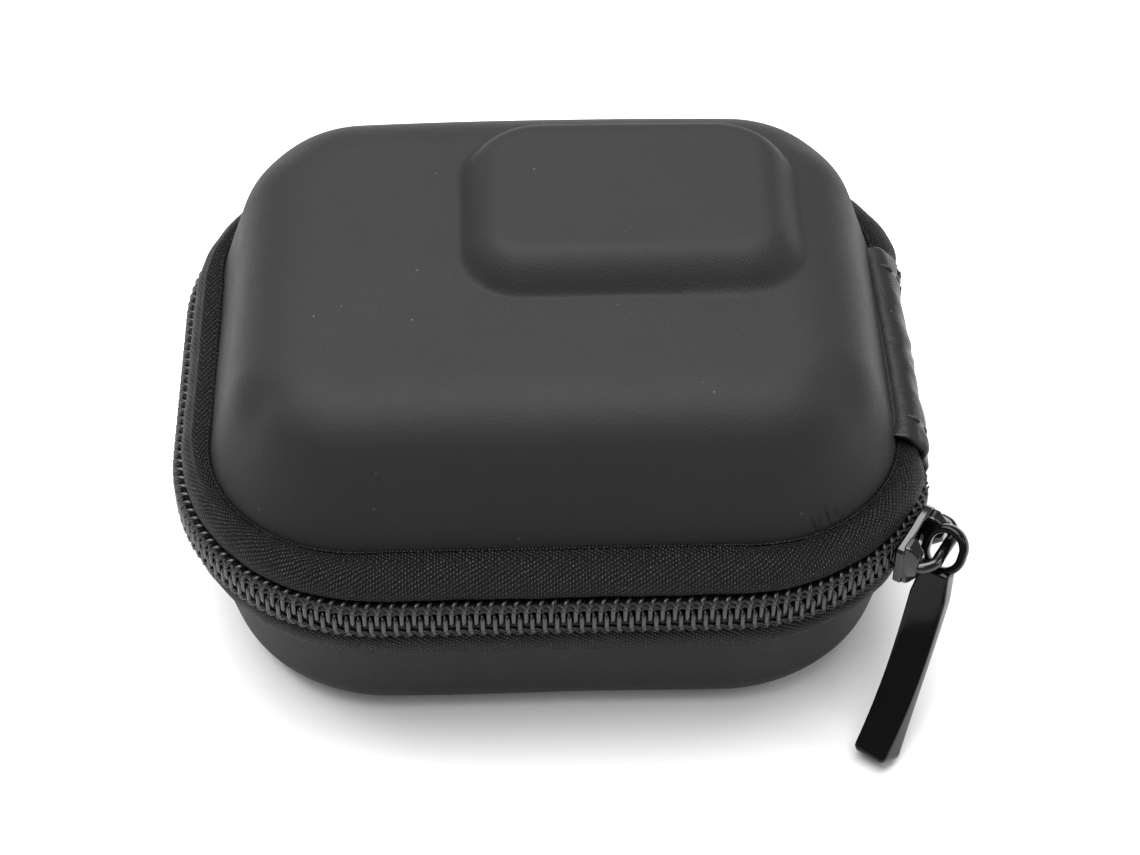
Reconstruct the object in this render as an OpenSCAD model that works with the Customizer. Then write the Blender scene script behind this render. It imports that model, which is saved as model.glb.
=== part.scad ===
// Miniature hard-shell carry case: a moulded foam base and lid joined by a fabric spine
// and closed by a coil zip. Millimetres, +Z up. The origin is the centre of the flat
// underside, +X points at the spine and -Y at the front.

/* [Case] */
// Length over the zip, along X
case_length = 90; // [84:1:110]
// Width over the zip, along Y
case_width = 74; // [68:0.5:95]
// Corner radius of the zip track, at the face of the zip
corner_radius = 25; // [23:0.5:27]
// Height of the zip's middle line above the underside
zip_height = 24.1; // [22:0.1:32]
// Height of the lid's top above the zip's middle line
lid_height = 22.9; // [19:0.1:30]

/* [Walls] */
// Thickness of the coated outer skin
skin_t = 0.6; // [0.4:0.1:1]
// Thickness of the moulded foam
foam_t = 3; // [2:0.25:4]
// Thickness of the inner lining
lining_t = 0.6; // [0.4:0.1:1]
// Distance from the zip's face in to the foot of the lid's wall
lid_ledge = 5; // [4.5:0.1:5.5]
// Distance from the zip's face in to the foot of the base's wall
base_ledge = 3.2; // [3:0.1:4.2]
// Lean of the lid's wall, in degrees
lid_draft = 18; // [10:1:20]
// Lean of the base's wall, in degrees
base_draft = 12; // [8:1:16]
// How much tighter the lid's corners are than the zip's
lid_corner_step = 2.6; // [0:0.1:3]
// Radius of the lid's upper edge
lid_edge_radius = 11; // [9:0.5:12]
// Radius of the base's lower edge
base_edge_radius = 8; // [6:0.5:10]

/* [Boss] */
// Length of the raised boss at its foot, along X
boss_length = 40; // [30:0.5:46]
// Width of the raised boss at its foot, along Y
boss_width = 29; // [20:0.5:32]
// Height of the boss above the lid's top
boss_height = 4; // [3:0.25:6]
// Corner radius of the boss, seen from above
boss_corner = 7.5; // [6:0.5:9]
// Place of the boss's centre along X
boss_x = 9.45; // [0:0.1:10]
// Place of the boss's centre along Y
boss_y = 6.3; // [0:0.1:7]

/* [Zip] */
// Thickness of the coil, across the tape
coil_t = 2.5; // [2:0.1:3]
// Height of one side's coil, along Z
coil_h = 2.65; // [2.2:0.05:3]
// Gap between the two coils, where the slider's web runs
coil_gap = 0.8; // [0.7:0.05:1]
// Diameter of the cord in the coil
coil_cord_d = 1.1; // [0.8:0.1:1.3]
// Thickness of the zip tape
tape_t = 0.65; // [0.5:0.05:0.8]
// Diameter of the sewing thread
thread_d = 0.44; // [0.3:0.02:0.5]

/* [Spine] */
// How far the spine cover runs on round the front corner
spine_front_wrap = 5.7; // [5:0.1:7]
// How far the spine cover runs on round the back corner
spine_back_wrap = 3.2; // [2:0.1:6]
// Thickness of the spine cover
spine_t = 0.8; // [0.6:0.1:1]

/* [Slider] */
// Angle of the closed slider round the front corner, from the spine side
slider_angle = 32; // [28:1:60]
// Length of the slider's plates
slider_length = 10.5; // [10:0.5:12]
// Height of the slider's plates, across the zip
slider_width = 7.6; // [7.2:0.1:8.4]
// Thickness of the slider's plates
plate_t = 1; // [0.8:0.1:1.1]
// Height of the opening under the bail
bail_opening = 2.35; // [2.2:0.05:2.8]
// Thickness of the bail's bar
bail_t = 1.4; // [1.2:0.1:1.5]

/* [Pull] */
// Length of the pull, from the middle of its eye to its tip
pull_length = 26.8; // [24:0.1:34]
// Width of the pull's grip
pull_width = 4.2; // [3.6:0.1:5]
// Thickness of the grip at its waist
pull_waist = 1.7; // [1.4:0.1:2.2]
// Thickness of the grip at its tip
pull_tip = 3.8; // [3:0.1:4.4]
// Width of the hole in the eye
eye_hole = 3.5; // [3.4:0.1:3.8]
// Metal round the hole in the eye
eye_rim = 0.95; // [0.8:0.05:1]

/* [Hidden] */

$fn = 48;
glue_gap = 0.05;                                // space between two bonded layers
cut = 1;                                        // how far a cutting solid runs past a face
arc_steps = 9;                                  // flats along a rounded edge
arc_centre_x = case_length / 2 - corner_radius; // the four corners' centres
arc_centre_y = case_width / 2 - corner_radius;

// Rims: the foam stops short of the zip, and the tape spans what is left.
binding_t = 0.5;
binding_leg = 3.5;
lining_end = skin_t + foam_t + lining_t + 2 * glue_gap; // depth of the lining's face in the wall

// Zip: distances from a corner's centre, and heights from the zip's middle line.
coil_out = corner_radius;
coil_in = coil_out - coil_t;
coil_z = coil_gap / 2;
coil_top = coil_z + coil_h;
tape_mid = coil_in - glue_gap - tape_t / 2;
tape_bulge = coil_out - 1.1 - tape_t / 2;
cover_mid = coil_out - 1.1 + glue_gap + spine_t / 2;
front_end_angle = asin(spine_front_wrap / corner_radius);
back_end_angle = asin(spine_back_wrap / corner_radius);
stop_angle = 2;      // length of an end stop, in degrees of the corner
tape_tuck_angle = 3; // how far the tape runs in under the spine cover

// Slider: its plates stand in front of the coil and behind the tape.
plate_gap = 0.15;
outer_plate_x = coil_out + plate_gap;
tape_back = tape_mid - tape_t / 2;
inner_plate_x = sqrt(pow(tape_back, 2) - pow(slider_length / 2, 2)) - plate_gap;
web_t = coil_gap - 0.2;
bail_x = outer_plate_x + plate_t + bail_opening + bail_t / 2;
bail_inner_l = 3.3;
bail_width = 1.5;
pull_eye_t = 1.7;
eye_stretch = 0.35;
tip_clearance = 0.15;
// The pull leans until its tip clears the surface that the case stands on.
pull_lean = acos(min(1, (zip_height - pull_tip / 2 * 0.6 - tip_clearance) / pull_length));

// ---------- profiles, as points [distance from the corner's centre, height] ----------

// A wall is [foot, foot_z, rim_z, top, edge radius, lean, corner step]: it starts at the
// distance foot from its corner's centre at the height foot_z, and leans inwards.
lid_wall = [corner_radius - lid_ledge, 6.5, 5, lid_height, lid_edge_radius, lid_draft, lid_corner_step];
base_wall = [corner_radius - base_ledge, -8.8, -6, -zip_height, base_edge_radius, base_draft, 0];

// Distance of a wall's face from its corner's centre at height z and a depth of inset.
function wall_at(wall, z, inset) =
    wall[0] - inset / cos(wall[5]) - (abs(z) - abs(wall[1])) * tan(wall[5]);

// Half section of a shell's solid form at a depth of inset inside its outer face. It is
// measured from the wall's own corner centre, and its rim runs on by past.
function form_points(wall, inset, past) =
    let (top = wall[3], edge = wall[4], lean = wall[5], step = wall[6],
         sign = top > 0 ? 1 : -1,
         centre_z = abs(top) - edge,
         radius = edge - inset,
         start_z = centre_z + edge * sin(lean),
         centre = wall_at(wall, start_z, 0) - edge * cos(lean) - step,
         low = abs(wall[2]) - past)
    concat([[0, sign * low], [wall_at(wall, low, inset) - step, sign * low]],
        [for (i = [0 : arc_steps]) let (a = lean + (90 - lean) * i / arc_steps)
            [centre + radius * cos(a), sign * (centre_z + radius * sin(a))]],
        [[0, sign * (abs(top) - inset)]]);

// Closed outline of a ribbon of thickness t along a path of points.
function ribbon(path, t) =
    let (n = len(path),
         dir = [for (i = [0 : n - 1]) path[min(i + 1, n - 1)] - path[max(i - 1, 0)]],
         side = [for (d = dir) [-d[1], d[0]] / norm(d) * t / 2])
    concat([for (i = [0 : n - 1]) path[i] + side[i]],
        [for (i = [n - 1 : -1 : 0]) path[i] - side[i]]);

// Middle line of a tape where it turns over the coil, from its bulge to the zip's middle.
over_coil = tape_t / 2 + glue_gap;
tape_turn = [[tape_bulge - 0.25, coil_top + 1], [tape_bulge - 0.85, coil_top + 0.5],
    [coil_in + 0.02, coil_top + over_coil * 1.2], [tape_mid, coil_top + over_coil * 0.4],
    [tape_mid, coil_z]];

// Middle line of the lid's tape, from the foot of the wall to the zip's middle.
lid_tape_path = concat([[wall_at(lid_wall, 7.5, 0) - 1, 7.5],
    [tape_bulge - 2.5, 7.6], [tape_bulge - 1.1, 7], [tape_bulge - 0.25, 6],
    [tape_bulge, coil_top + 1.85]], tape_turn);

// Middle line of the base's tape.
base_tape_path = concat([for (i = [len(tape_turn) - 1 : -1 : 0]) [tape_turn[i][0], -tape_turn[i][1]]],
    [[tape_bulge, -5], [tape_bulge - 0.1, -6.4], [tape_bulge - 0.7, -7.8], [tape_bulge - 1.3, -8.8],
    [wall_at(base_wall, -9.4, 0) - 1, -9.4]]);

// Middle line of the spine's cover, from the lid's foot to the base's foot.
cover_path = [[wall_at(lid_wall, 8.5, 0) - 1, 8.5],
    [cover_mid - 2.5, 8.6], [cover_mid - 0.9, 7.8], [cover_mid - 0.1, 6.4], [cover_mid, 5],
    [cover_mid, 2.5], [cover_mid, 0], [cover_mid, -2.5], [cover_mid, -5],
    [cover_mid - 0.05, -6.8], [cover_mid - 0.5, -8.4], [cover_mid - 1.2, -9.7],
    [wall_at(base_wall, -10.4, 0) - 1, -10.4]];

// Middle line of the spine's lining, inside the cover.
lining_in = corner_radius - lid_ledge - 2;
lining_path = [[lining_in, 3.95], [cover_mid - 2.8, 4.05], [cover_mid - 1.3, 3.1],
    [cover_mid - 0.95, 0], [cover_mid - 1.3, -3.9], [cover_mid - 2.8, -5], [lining_in, -5]];
// ---------- sweeps round the case ----------

// One corner's arc of a profile; from and to are angles seen from above, anticlockwise.
module corner(x, y, from, to) {
    translate([x * arc_centre_x, y * arc_centre_y, 0])
        rotate([0, 0, from]) rotate_extrude(angle = to - from, $fn = 96) children();
}

// A straight run of a profile along the back of the case.
module back_run() {
    translate([-arc_centre_x, arc_centre_y, 0])
        rotate([90, 0, 90]) linear_extrude(2 * arc_centre_x) children();
}

// A straight run of a profile along the spine side of the case.
module spine_run() {
    translate([arc_centre_x, arc_centre_y, 0])
        rotate([90, 0, 0]) linear_extrude(2 * arc_centre_y) children();
}

// A profile swept round the rectangle of corner centres at [half_x, half_y].
module loop(half_x, half_y) {
    for (c = [[1, 1, 0], [-1, 1, 90], [-1, -1, 180], [1, -1, 270]])
        translate([c[0] * half_x, c[1] * half_y, 0])
            rotate([0, 0, c[2]]) rotate_extrude(angle = 90, $fn = 96) children();
    for (m = [0, 1]) {
        mirror([0, m, 0]) translate([-half_x, half_y, 0])
            rotate([90, 0, 90]) linear_extrude(2 * half_x) children();
        mirror([m, 0, 0]) translate([half_x, half_y, 0])
            rotate([90, 0, 0]) linear_extrude(2 * half_y) children();
    }
}

// A profile, measured from a wall's own corner centres, swept round the whole case.
module wall_loop(wall) {
    loop(arc_centre_x + wall[6], arc_centre_y + wall[6]) children();
}

// A profile swept from the front end of the spine round to its back end.
module zip_run(front_angle, back_angle) {
    corner(1, -1, 270, 360 - front_angle) children();
    mirror([0, 1, 0]) corner(1, -1, 270, 360 - back_angle) children();
    corner(-1, 1, 90, 180) children();
    corner(-1, -1, 180, 270) children();
    back_run() children();
    mirror([0, 1, 0]) back_run() children();
    mirror([1, 0, 0]) spine_run() children();
}

// A profile swept along the spine.
module spine_sweep(front_angle, back_angle) {
    corner(1, 1, 0, back_angle) children();
    mirror([0, 1, 0]) corner(1, 1, 0, front_angle) children();
    spine_run() children();
}

// ---------- shells ----------

module at_zip() {
    translate([0, 0, zip_height]) children();
}

// Solid bounded by a wall's face at a depth of inset, with its flat plate.
module form(wall, inset, past) {
    wall_loop(wall) polygon(form_points(wall, inset, past));
    plate = abs(wall[3]) - inset - abs(wall[2]) + past;
    translate([0, 0, (wall[3] > 0 ? 1 : -1) * (abs(wall[2]) - past + plate / 2)])
        cube([2 * (arc_centre_x + wall[6]), 2 * (arc_centre_y + wall[6]), plate], center = true);
}

module lid_form(inset, past) {
    form(lid_wall, inset, past);
    boss_form(inset);
}

module base_form(inset, past) {
    form(base_wall, inset, past);
}

// The raised boss: a rounded rectangle with a leaning wall and a rounded upper edge.
module boss_form(inset) {
    edge = 2.6 - inset * 0.5;
    flare = 0.9;
    r = boss_corner - inset;
    low = lid_height - inset - 3;
    high = lid_height + boss_height - inset;
    points = concat([[0, low], [r + flare * 0.2, low], [r, low + 3], [r - flare * 0.5, high - edge - 0.6]],
        [for (i = [0 : 5]) [r - flare - edge + edge * cos(18 * i), high - edge + edge * sin(18 * i)]],
        [[0, high]]);
    half_x = boss_length / 2 - boss_corner;
    half_y = boss_width / 2 - boss_corner;
    translate([boss_x, boss_y, 0]) {
        loop(half_x, half_y) polygon(points);
        translate([-half_x, -half_y, low]) cube([2 * half_x, 2 * half_y, high - low]);
    }
}

// One layer of the lid, between two depths in its wall.
module lid_layer(from, to) {
    at_zip() difference() {
        lid_form(from, 0);
        lid_form(to, cut);
    }
}

// One layer of the base, between two depths in its wall.
module base_layer(from, to) {
    at_zip() difference() {
        base_form(from, 0);
        base_form(to, cut);
    }
}

module lid_skin() { color("#3a3a3b") lid_layer(0, skin_t); }
module lid_shell() { color("#262626") lid_layer(skin_t + glue_gap, skin_t + glue_gap + foam_t); }
module lid_lining() { color("#2e2e30") lid_layer(lining_end - lining_t, lining_end); }
module base_skin() { color("#3a3a3b") base_layer(0, skin_t); }
module base_shell() { color("#262626") base_layer(skin_t + glue_gap, skin_t + glue_gap + foam_t); }
module base_lining() { color("#2e2e30") base_layer(lining_end - lining_t, lining_end); }

// ---------- rims ----------

// Section of the binding: under the rim, then up the lining's face.
function binding_points(wall) =
    let (sign = wall[2] > 0 ? 1 : -1,
         rim = abs(wall[2]),
         face = lining_end + glue_gap,
         low = rim - glue_gap - binding_t,
         high = rim + binding_leg,
         out = wall_at(wall, rim, 0) - 0.3)
    [for (p = [[wall_at(wall, low, face + binding_t), low], [out, low], [out, rim - glue_gap],
        [wall_at(wall, rim - glue_gap, face), rim - glue_gap], [wall_at(wall, high, face), high],
        [wall_at(wall, high, face + binding_t), high]]) [p[0] - wall[6], sign * p[1]]];

module lid_rim_binding() {
    color("#1d1d1e") at_zip() wall_loop(lid_wall) polygon(binding_points(lid_wall));
}

module base_rim_binding() {
    color("#1d1d1e") at_zip() wall_loop(base_wall) polygon(binding_points(base_wall));
}

// Stitches along the binding's leg, on the straight runs and round the corners.
module rim_seam(wall) {
    stitch = 2.4;
    pitch = 3.2;
    half_x = arc_centre_x + wall[6];
    half_y = arc_centre_y + wall[6];
    z = abs(wall[2]) + binding_leg * 0.6;
    reach = wall_at(wall, z, lining_end + glue_gap + binding_t) - wall[6] - thread_d / 2 - glue_gap;
    height = (wall[2] > 0 ? 1 : -1) * z;
    for (side = [[0, half_x, half_y], [1, half_y, half_x]]) {
        count = floor(2 * side[1] / pitch);
        for (i = [0 : count - 1], m = [-1, 1])
            rotate([0, 0, 90 * side[0]])
                translate([(i - (count - 1) / 2) * pitch, m * (side[2] + reach), height])
                    rotate([0, 90, 0]) cylinder(d = thread_d, h = stitch, center = true, $fn = 16);
    }
    turns = floor(reach * PI / 2 / pitch);
    for (c = [[1, 1, 0], [-1, 1, 90], [-1, -1, 180], [1, -1, 270]], i = [0 : turns - 1])
        translate([c[0] * half_x, c[1] * half_y, height])
            rotate([0, 0, c[2] + (i + 0.5) * 90 / turns]) translate([reach - 0.12, 0, 0])
                rotate([90, 0, 0]) cylinder(d = thread_d, h = stitch * 0.8, center = true, $fn = 16);
}

module lid_rim_seam() {
    color("#141414") at_zip() rim_seam(lid_wall);
}

module base_rim_seam() {
    color("#141414") at_zip() rim_seam(base_wall);
}

// ---------- zip ----------

// Section of one side's coil, with the hole that its cord fills.
module coil_section() {
    bevel = 0.55;
    translate([coil_in, coil_z]) difference() {
        polygon([[0, 0], [coil_t - bevel, 0], [coil_t, bevel], [coil_t, coil_h - bevel],
            [coil_t - bevel, coil_h], [0, coil_h]]);
        translate([coil_t / 2, coil_h / 2]) circle(d = coil_cord_d + 2 * glue_gap, $fn = 24);
    }
}

module coil_cord_section() {
    translate([coil_in + coil_t / 2, coil_z + coil_h / 2]) circle(d = coil_cord_d, $fn = 24);
}

// The stitches that sew a coil to its tape, in the crook between the two.
module coil_stitches(side) {
    stitch = 2.3;
    pitch = 2.9;
    reach = coil_out - 0.5;
    height = side * (coil_top + glue_gap + thread_d / 2);
    count_x = floor(2 * arc_centre_x / pitch);
    count_y = floor(2 * arc_centre_y / pitch);
    for (i = [0 : count_x - 1], m = [-1, 1])
        translate([(i - (count_x - 1) / 2) * pitch, m * (arc_centre_y + reach), height])
            rotate([0, 90, 0]) cylinder(d = thread_d, h = stitch, center = true, $fn = 16);
    for (i = [0 : count_y - 1])
        translate([-arc_centre_x - reach, (i - (count_y - 1) / 2) * pitch, height])
            rotate([90, 0, 0]) cylinder(d = thread_d, h = stitch, center = true, $fn = 16);
    for (c = [[1, 1, coil_back_angle, 90], [-1, 1, 90, 180], [-1, -1, 180, 270],
        [1, -1, 270, 360 - coil_front_angle]]) {
        turns = floor((c[3] - c[2]) * reach * PI / 180 / pitch);
        for (i = [0 : turns - 1])
            translate([c[0] * arc_centre_x, c[1] * arc_centre_y, height])
                rotate([0, 0, c[2] + (i + 0.5) * (c[3] - c[2]) / turns]) translate([reach, 0, 0])
                    rotate([90, 0, 0]) cylinder(d = thread_d, h = stitch, center = true, $fn = 16);
    }
}

// A section of the base's side of the zip, which is the lid's side upside down.
module flipped() {
    mirror([0, 1]) children();
}

coil_front_angle = front_end_angle + stop_angle + 0.5;
coil_back_angle = back_end_angle + stop_angle + 0.5;

module lid_tape() {
    color("#161617") at_zip() difference() {
        zip_run(front_end_angle - tape_tuck_angle, back_end_angle - tape_tuck_angle)
            polygon(ribbon(lid_tape_path, tape_t));
        form(lid_wall, -glue_gap, 0);
    }
}

module base_tape() {
    color("#161617") at_zip() difference() {
        zip_run(front_end_angle - tape_tuck_angle, back_end_angle - tape_tuck_angle)
            polygon(ribbon(base_tape_path, tape_t));
        form(base_wall, -glue_gap, 0);
    }
}

module lid_coil() {
    color("#2b2b2c") at_zip() zip_run(coil_front_angle, coil_back_angle) coil_section();
}

module base_coil() {
    color("#2b2b2c") at_zip() zip_run(coil_front_angle, coil_back_angle) flipped() coil_section();
}

module lid_coil_cord() {
    color("#101010") at_zip() zip_run(coil_front_angle, coil_back_angle) coil_cord_section();
}

module base_coil_cord() {
    color("#101010") at_zip() zip_run(coil_front_angle, coil_back_angle) flipped() coil_cord_section();
}

module lid_coil_stitching() { color("#101010") at_zip() coil_stitches(1); }
module base_coil_stitching() { color("#101010") at_zip() coil_stitches(-1); }

// The block crimped on a coil's end, one at each end of the spine.
module end_stops() {
    corner(1, -1, -front_end_angle - stop_angle, -front_end_angle - 0.3) children();
    corner(1, 1, back_end_angle + 0.3, back_end_angle + stop_angle) children();
}

module stop_section() {
    translate([coil_in, coil_z]) square([coil_t - 0.1, coil_h - 0.1]);
}

module lid_end_stops() { color("#202021") at_zip() end_stops() stop_section(); }
module base_end_stops() { color("#202021") at_zip() end_stops() flipped() stop_section(); }

// ---------- spine ----------

module spine_cover() {
    color("#2f2f30") at_zip() difference() {
        spine_sweep(front_end_angle, back_end_angle) polygon(ribbon(cover_path, spine_t));
        form(lid_wall, -glue_gap, 0);
        form(base_wall, -glue_gap, 0);
    }
}

module spine_lining() {
    color("#2e2e30") at_zip() spine_run() polygon(ribbon(lining_path, 0.6));
}

// A row of thread across each end of the cover, on its outer face.
module spine_stitching() {
    seam_width = 0.9;
    inset_angle = 3;
    lift = spine_t / 2 + glue_gap + thread_d / 2;
    seam = [for (i = [1 : len(cover_path) - 2])
        let (d = cover_path[i + 1] - cover_path[i - 1])
        cover_path[i] + [-d[1], d[0]] / norm(d) * lift];
    color("#0e0e0e") at_zip() {
        corner(1, -1, -front_end_angle + inset_angle, -front_end_angle + inset_angle + seam_width)
            polygon(ribbon(seam, thread_d));
        corner(1, 1, back_end_angle - inset_angle - seam_width, back_end_angle - inset_angle)
            polygon(ribbon(seam, thread_d));
    }
}

// ---------- slider and pull ----------

// Puts children in the slider's own frame: X out of the case, Y towards the spine, Z up.
module at_slider() {
    translate([arc_centre_x, -arc_centre_y, zip_height]) rotate([0, 0, -slider_angle]) children();
}

// Outline of a plate: wide shoulders at the nose, a narrower tail.
module plate_outline() {
    half = slider_length / 2;
    wide = slider_width / 2;
    polygon([[half, 1.9], [half - 1.8, wide], [half - 5, wide], [half - 6.5, wide - 0.7],
        [-half, wide - 0.7], [-half, 0.7 - wide], [half - 6.5, 0.7 - wide], [half - 5, -wide],
        [half - 1.8, -wide], [half, -1.9]]);
}

// Stands an outline of [Y, Z] points up, from x to x + t.
module upright(x, t) {
    translate([x, 0, 0]) rotate([90, 0, 90]) linear_extrude(t) children();
}

module slider_body() {
    color("#171717") at_slider() {
        upright(outer_plate_x, plate_t) plate_outline();
        upright(inner_plate_x - plate_t, plate_t) plate_outline();
        translate([inner_plate_x - 0.5, slider_length / 2 - 5, -web_t / 2])
            cube([outer_plate_x - inner_plate_x + 1, 4, web_t]);
    }
}

// The arch on the outer plate that the pull's eye hangs on.
module slider_bail() {
    start = outer_plate_x + plate_t;
    reach = bail_opening + bail_t;
    half = bail_inner_l + bail_t;
    color("#171717") at_slider() translate([start, 0, -bail_width / 2])
        linear_extrude(bail_width) difference() {
            polygon([[0, -half], [reach * 0.55, -half], [reach * 0.85, -half + 0.5],
                [reach, -half + 1.6], [reach, half - 1.6], [reach * 0.85, half - 0.5],
                [reach * 0.55, half], [0, half]]);
            polygon([[-cut, -bail_inner_l], [bail_opening * 0.7, -bail_inner_l],
                [bail_opening, -bail_inner_l + 0.8], [bail_opening, bail_inner_l - 0.8],
                [bail_opening * 0.7, bail_inner_l], [-cut, bail_inner_l]]);
        }
}

// Half thickness of the grip at a distance s of 0 to 1 from the eye to the tip.
function grip_half(s) =
    let (ends = (1 - s) * 1.55 + s * pull_tip / 2, bow = sin(180 * pow(s, 0.9)))
    ends - (ends - pull_waist / 2) * bow;

module pull_tab() {
    top = eye_hole / 2 + eye_stretch + 0.6;
    outer = eye_hole / 2 + eye_rim;
    steps = 12;
    edge = [for (i = [0 : steps]) [grip_half(i / steps), -top - (pull_length - top) * i / steps]];
    sides = concat(edge, [for (i = [steps : -1 : 0]) [-edge[i][0], edge[i][1]]]);
    color("#0f0f0f") at_slider() translate([bail_x, 0, 0]) rotate([-pull_lean, 0, 0]) {
        translate([-pull_width / 2, 0, 0]) rotate([90, 0, 90]) linear_extrude(pull_width) polygon(sides);
        rotate([90, 0, 0]) translate([0, 0, -pull_eye_t / 2]) linear_extrude(pull_eye_t)
            difference() {
                union() {
                    for (m = [-1, 1]) translate([0, m * eye_stretch]) circle(r = outer);
                    square([2 * outer, 2 * eye_stretch], center = true);
                    translate([0, -outer]) square([pull_width, 2], center = true);
                }
                for (m = [-1, 1]) translate([0, m * eye_stretch]) circle(d = eye_hole);
                square([eye_hole, 2 * eye_stretch], center = true);
            }
    }
}

base_skin();
base_shell();
base_lining();
base_rim_binding();
base_tape();
base_coil();
base_coil_cord();
base_coil_stitching();
base_rim_seam();
base_end_stops();
spine_cover();
spine_lining();
spine_stitching();
lid_skin();
lid_shell();
lid_lining();
lid_rim_binding();
lid_tape();
lid_coil();
lid_coil_cord();
lid_coil_stitching();
lid_rim_seam();
lid_end_stops();
slider_body();
slider_bail();
pull_tab();
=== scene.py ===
"""Looks of a small moulded zip-round carry case: cloth skin, woven tape, nylon coil, enamelled slider.

Every size is in millimetres in the case's own frame, and becomes metres when a mesh is made.
"""

import sys
import logging  # noqa: E402
import math  # noqa: E402
from dataclasses import dataclass, field  # noqa: E402
from enum import Enum  # noqa: E402
from typing import Callable, Optional, Sequence  # noqa: E402

import bmesh  # noqa: E402
import bpy  # noqa: E402
import numpy as np  # noqa: E402
from mathutils import Matrix, Vector  # noqa: E402


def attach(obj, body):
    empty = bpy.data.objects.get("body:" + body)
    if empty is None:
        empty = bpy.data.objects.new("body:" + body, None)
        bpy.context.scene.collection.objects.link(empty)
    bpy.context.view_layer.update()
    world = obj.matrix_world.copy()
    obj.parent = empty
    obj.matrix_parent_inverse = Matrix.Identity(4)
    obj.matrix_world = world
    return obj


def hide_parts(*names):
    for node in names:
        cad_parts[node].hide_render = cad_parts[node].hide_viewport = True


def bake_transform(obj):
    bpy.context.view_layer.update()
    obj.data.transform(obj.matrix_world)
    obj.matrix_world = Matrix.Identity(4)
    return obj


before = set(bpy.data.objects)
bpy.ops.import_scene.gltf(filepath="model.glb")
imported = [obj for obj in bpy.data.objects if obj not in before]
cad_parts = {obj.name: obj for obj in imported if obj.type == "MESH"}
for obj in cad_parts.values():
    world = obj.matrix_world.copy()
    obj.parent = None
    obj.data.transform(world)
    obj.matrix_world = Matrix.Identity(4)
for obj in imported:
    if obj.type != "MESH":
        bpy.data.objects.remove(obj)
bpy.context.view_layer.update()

LOG = logging.getLogger("case")
MM = 0.001
GAP = 0.05  # between two bonded layers
THREAD = 0.2  # radius of the sewing thread
COIL_GAP = 1.2  # from an end of the zip to the coil's first turn
SHARP_EDGE = 28.0  # degrees between two faces that a rounding joins
UP = np.array([0.0, 0.0, 1.0])
ALONG_Y = np.array([0.0, 1.0, 0.0])
Array = np.ndarray
Faces = list[tuple[int, ...]]
Socket = bpy.types.NodeSocket
Material = bpy.types.Material
Piece = bpy.types.Object


class Side(Enum):
    """The two halves of the case; the value is the direction away from the zip."""

    LID = 1
    BASE = -1

    @property
    def phase(self) -> float:
        """Where this side's coil starts, as a share of a turn, so that its heads meet the other's gaps."""
        return 0.0 if self is Side.LID else 0.5


@dataclass(frozen=True)
class Sizes:
    """The case's sizes, in millimetres; half_x and half_y are the places of the zip's corner centres."""

    half_x: float = 20.0
    half_y: float = 12.0
    radius: float = 25.0
    zip_z: float = 24.1
    skin: float = 0.6
    foam: float = 3.0
    lining: float = 0.6
    coil_depth: float = 2.5
    pitch: float = 1.4
    spine_front: float = 17.7
    spine_back: float = 15.2
    slider_angle: float = 32.0


@dataclass(frozen=True)
class Wall:
    """A leaning wall with a rounded far edge.

    Heights are measured from the zip, and distances from the zip's corner centre.
    """

    foot: float
    foot_z: float
    rim_z: float
    top: float
    edge: float
    lean: float
    step: float
    side: Side
    knuckle: float = 0.0

    def face(self, z: float, inset: float = 0.0) -> float:
        """Distance of the wall's face from the zip's corner centre.

        Args:
            z: height from the zip, without sign.
            inset: depth inside the outer face.

        Returns:
            The distance in millimetres.
        """
        lean = math.radians(self.lean)
        return self.foot - inset / math.cos(lean) - (z - self.foot_z) * math.tan(lean)

    def section(self, inset: float, wall_rows: int, arc_rows: int, knuckle: float) -> Array:
        """Half section from the rim to the start of the flat top, from the wall's own corner centre.

        Args:
            inset: depth inside the outer face.
            wall_rows: points up the straight wall.
            arc_rows: points round the edge.
            knuckle: how far the edge swells past a true arc, as a share of its radius.

        Returns:
            An array of (distance, height) rows.
        """
        lean = math.radians(self.lean)
        centre_z = self.top - self.edge
        radius = self.edge - inset
        arc_start = centre_z + self.edge * math.sin(lean)
        centre = self.face(arc_start) - self.edge * math.cos(lean) - self.step
        straight_end = centre_z + radius * math.sin(lean)
        heights = np.linspace(self.rim_z, straight_end, wall_rows)[:-1]
        rows = [(self.face(z, inset) - self.step, z) for z in heights]
        for a in np.linspace(lean, math.pi / 2, arc_rows):
            full = radius * (1 + knuckle * math.sin(math.pi * (a - lean) / (math.pi / 2 - lean)) ** 2)
            rows.append((centre + full * math.cos(a), centre_z + full * math.sin(a)))
        return np.array(rows)


S = Sizes()
LID_WALL = Wall(20.0, 6.5, 5.0, 22.9, 11.0, 18.0, 2.6, Side.LID, 0.068)
BASE_WALL = Wall(21.8, 8.8, 6.0, 24.1, 8.0, 12.0, 0.0, Side.BASE, 0.012)


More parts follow.
